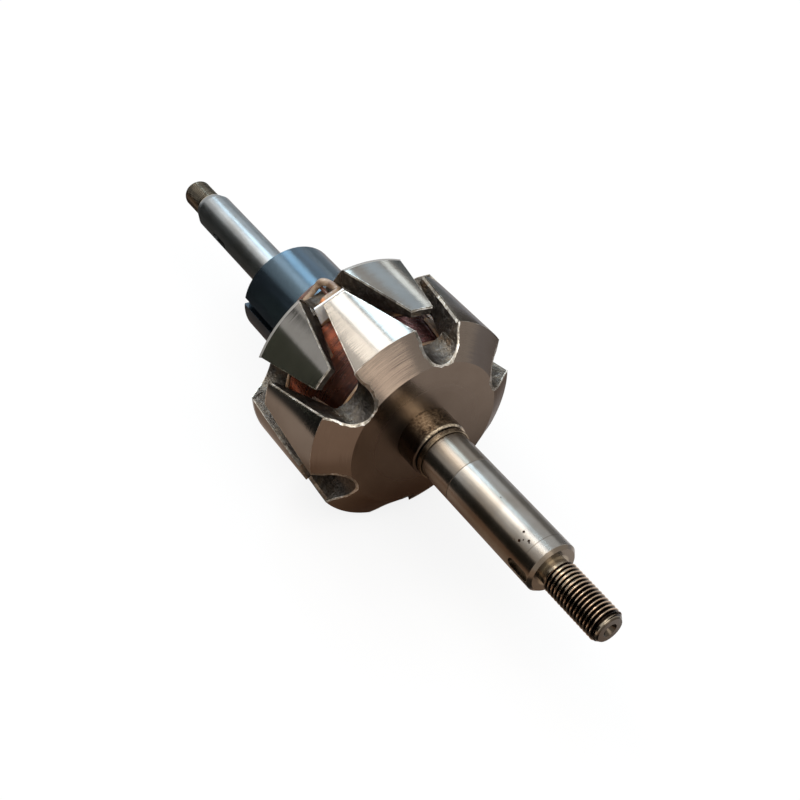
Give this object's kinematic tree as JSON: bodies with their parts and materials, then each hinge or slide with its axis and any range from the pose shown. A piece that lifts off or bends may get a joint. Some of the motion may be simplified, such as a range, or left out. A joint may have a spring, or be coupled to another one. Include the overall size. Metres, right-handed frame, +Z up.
{
  "type": "claw-pole alternator rotor",
  "caption": "Claw-pole alternator rotor: two interleaved pole pieces over a field coil on a stepped shaft with threaded ends, a front collar and a rear sleeve.",
  "frame": {"origin": "on the axis of rotation, at the front edge of the thin ring that the drive-end bearing sits against", "axes": "+X along the shaft toward the drive end, +Z up as the rotor lies on its claws, +Y to the left seen from the drive end's rear"},
  "size_m": [0.3505, 0.108, 0.108],
  "materials": {
    "ground_steel": "ground and polished seats, oiled threads, a few rust pits",
    "pole_steel": "lathe-turned outside and faces, rough forged flanks and notches",
    "insulation": "varnished tan sheet with light edges",
    "enamelled_copper": "red-brown enamelled winding wire under varnish",
    "oiled_steel": "dark oily steel with a bronze sheen",
    "black_moulding": "satin black with a soft blue-grey sheen"
  },
  "bodies": {
    "root": {"shaft": "ground_steel", "front_pole": "pole_steel", "rear_pole": "pole_steel", "coil_bobbin": "insulation", "field_coil": "enamelled_copper", "front_collar": "oiled_steel", "front_ring": "oiled_steel", "rear_sleeve": "black_moulding", "lead_wire_start": "enamelled_copper", "lead_wire_end": "enamelled_copper"}
  },
  "joints": []
}
